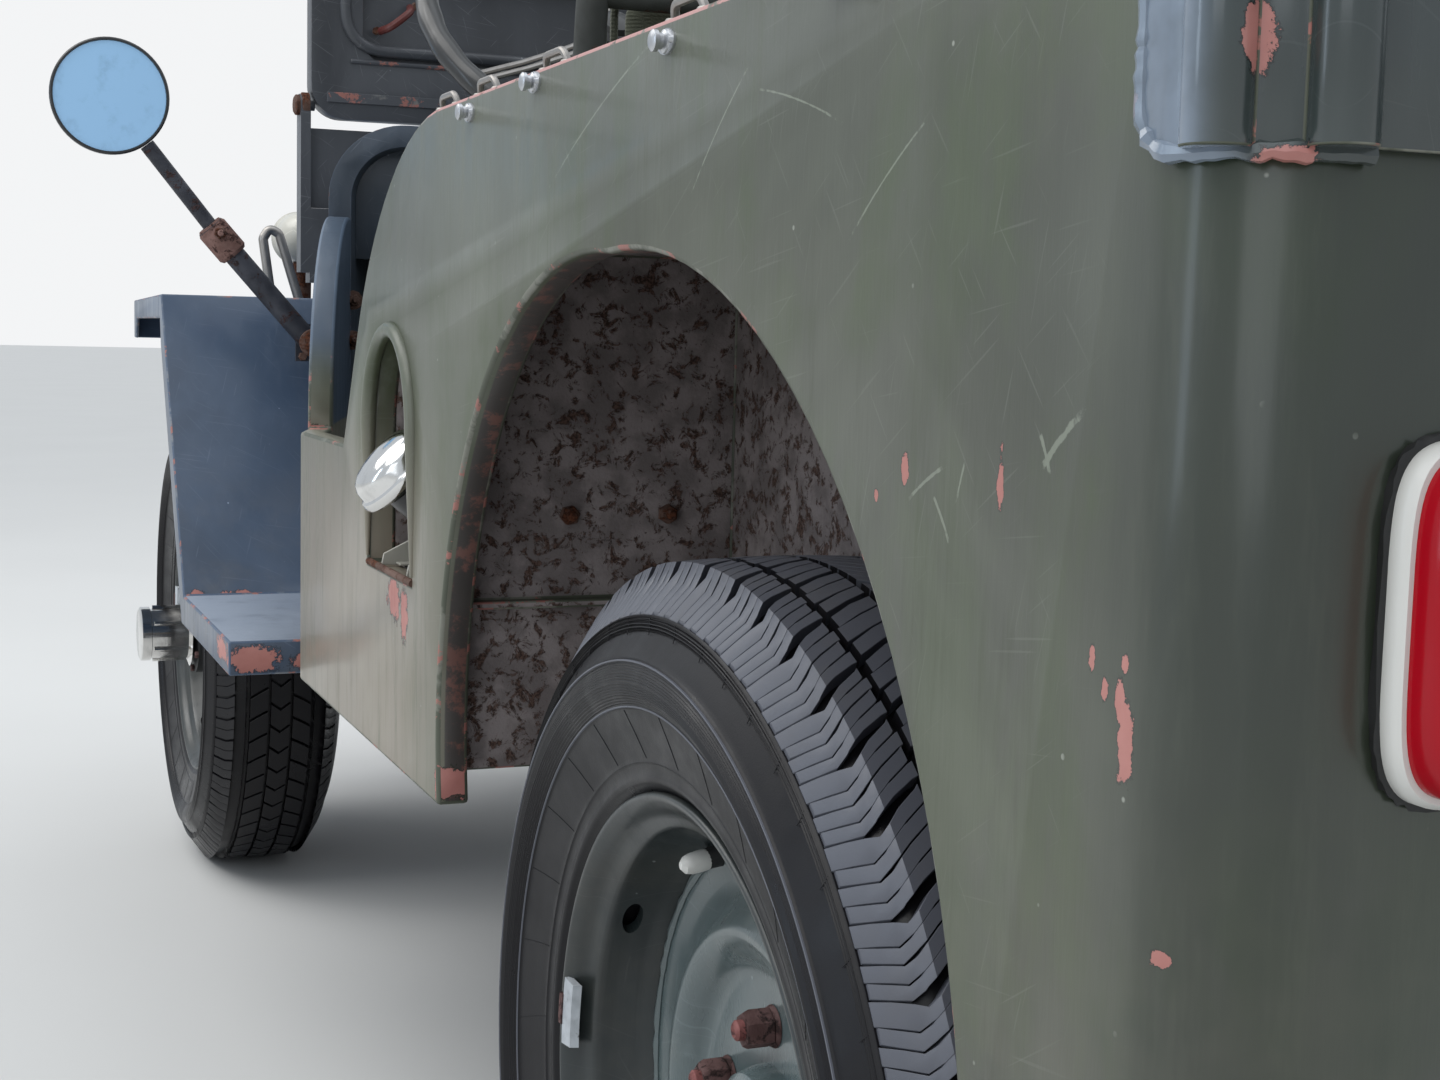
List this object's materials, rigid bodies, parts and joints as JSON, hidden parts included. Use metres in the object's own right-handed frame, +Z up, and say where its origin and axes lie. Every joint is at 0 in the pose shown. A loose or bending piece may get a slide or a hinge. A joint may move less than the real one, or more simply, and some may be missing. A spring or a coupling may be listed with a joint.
{
  "type": "light four-wheel-drive army car",
  "caption": "Open light army field car with flat fenders, folding windshield, opening hood, steered front wheels, recessed fuel filler and a spare wheel on the rear panel.",
  "frame": {"origin": "bottom centre of the bounding box, on the ground", "axes": "+X to the car's left, +Y to its rear, +Z up"},
  "size_m": [1.844, 3.3321, 1.5998],
  "materials": {
    "body_paint": "semi-gloss",
    "chassis_paint": "satin",
    "rim_paint": "semi-gloss",
    "tyre": "matte",
    "engine": "rough",
    "steel": "worn",
    "wheel_rim_plastic": "gloss",
    "canvas": "woven",
    "window_glass": "clear",
    "headlamp": "clear",
    "cream_paint": "semi-gloss",
    "cap_metal": "domed",
    "mirror": "polished",
    "red_lens": "gloss"
  },
  "bodies": {
    "chassis": {"frame_rails": "chassis_paint", "frame_crossmembers": "chassis_paint", "body_mounts": "chassis_paint", "front_bumper": "body_paint", "front_springs": "chassis_paint", "rear_springs": "chassis_paint", "front_axle": "chassis_paint", "rear_axle": "chassis_paint", "engine_block": "engine", "propshafts": "chassis_paint", "exhaust": "steel", "fuel_tank": "chassis_paint", "tub_floor": "body_paint", "side_left": "body_paint", "side_right": "body_paint", "rear_panel": "body_paint", "wheelhouses": "body_paint", "corner_pockets": "body_paint", "cowl": "body_paint", "firewall": "body_paint", "dash": "body_paint", "fender_left": "body_paint", "fender_right": "body_paint", "grille": "body_paint", "radiator": "chassis_paint", "headlamps": "headlamp", "fender_lamp": "cream_paint", "lamp_guard": "steel", "filler_pocket": "body_paint", "filler_neck": "cap_metal", "seat_frames": "chassis_paint", "seat_cushions": "canvas", "steering_column": "chassis_paint", "levers": "steel", "windshield_brackets": "chassis_paint", "mirror_arms": "chassis_paint", "mirror_heads": "mirror", "tail_lamps": "red_lens", "towing_hitch": "chassis_paint", "spare_wheel": "rim_paint", "spare_tyre": "tyre"},
    "knuckle_left_body": {"knuckle_left": "chassis_paint"},
    "knuckle_right_body": {"knuckle_right": "chassis_paint"},
    "tie_rod_body": {"tie_rod": "chassis_paint"},
    "wheel_front_left_body": {"wheel_front_left": "rim_paint", "tyre_front_left": "tyre"},
    "wheel_front_right_body": {"wheel_front_right": "rim_paint", "tyre_front_right": "tyre"},
    "wheel_rear_left_body": {"wheel_rear_left": "rim_paint", "tyre_rear_left": "tyre"},
    "wheel_rear_right_body": {"wheel_rear_right": "rim_paint", "tyre_rear_right": "tyre"},
    "steering_wheel_body": {"steering_wheel": "wheel_rim_plastic"},
    "hood_body": {"hood": "body_paint"},
    "windshield_body": {"windshield_frame": "body_paint", "windshield_glass": "window_glass"}
  },
  "joints": [
    {"name": "steer_left", "type": "hinge", "parent": "chassis", "child": "knuckle_left_body", "pos_m": [0.505, -1.118, 0.34], "axis": [0, 0, 1], "range_deg": [-23, 23]},
    {"name": "steer_right", "type": "hinge", "parent": "chassis", "child": "knuckle_right_body", "pos_m": [-0.505, -1.118, 0.34], "axis": [0, 0, 1], "range_deg": [-23, 23]},
    {"name": "tie_rod_end", "type": "hinge", "parent": "knuckle_left_body", "child": "tie_rod_body", "pos_m": [0.465, -1.288, 0.372], "axis": [0, 0, 1], "range_deg": [-23, 23]},
    {"name": "steering_wheel_turn", "type": "hinge", "parent": "chassis", "child": "steering_wheel_body", "pos_m": [0.36, -0.181, 1.13], "axis": [0, 0.7071, 0.7071], "range_deg": [-345, 345]},
    {"name": "spin_front_left", "type": "hinge", "parent": "knuckle_left_body", "child": "wheel_front_left_body", "pos_m": [0.615, -1.118, 0.34], "axis": [1, 0, 0], "continuous": true},
    {"name": "spin_front_right", "type": "hinge", "parent": "knuckle_right_body", "child": "wheel_front_right_body", "pos_m": [-0.615, -1.118, 0.34], "axis": [1, 0, 0], "continuous": true},
    {"name": "spin_rear_left", "type": "hinge", "parent": "chassis", "child": "wheel_rear_left_body", "pos_m": [0.615, 0.914, 0.34], "axis": [1, 0, 0], "continuous": true},
    {"name": "spin_rear_right", "type": "hinge", "parent": "chassis", "child": "wheel_rear_right_body", "pos_m": [-0.615, 0.914, 0.34], "axis": [1, 0, 0], "continuous": true},
    {"name": "hood_hinge", "type": "hinge", "parent": "chassis", "child": "hood_body", "pos_m": [0, -0.6195, 1.0345], "axis": [-1, 0, 0], "range_deg": [0, 95]},
    {"name": "windshield_fold", "type": "hinge", "parent": "chassis", "child": "windshield_body", "pos_m": [0, -0.476, 1.06], "axis": [-1, 0, 0], "range_deg": [-90, 0]}
  ],
  "couplings": [
    {"joint": "steer_right", "follows": "steer_left", "ratio": 1},
    {"joint": "tie_rod_end", "follows": "steer_left", "ratio": -1},
    {"joint": "steering_wheel_turn", "follows": "steer_left", "ratio": 14.8}
  ]
}
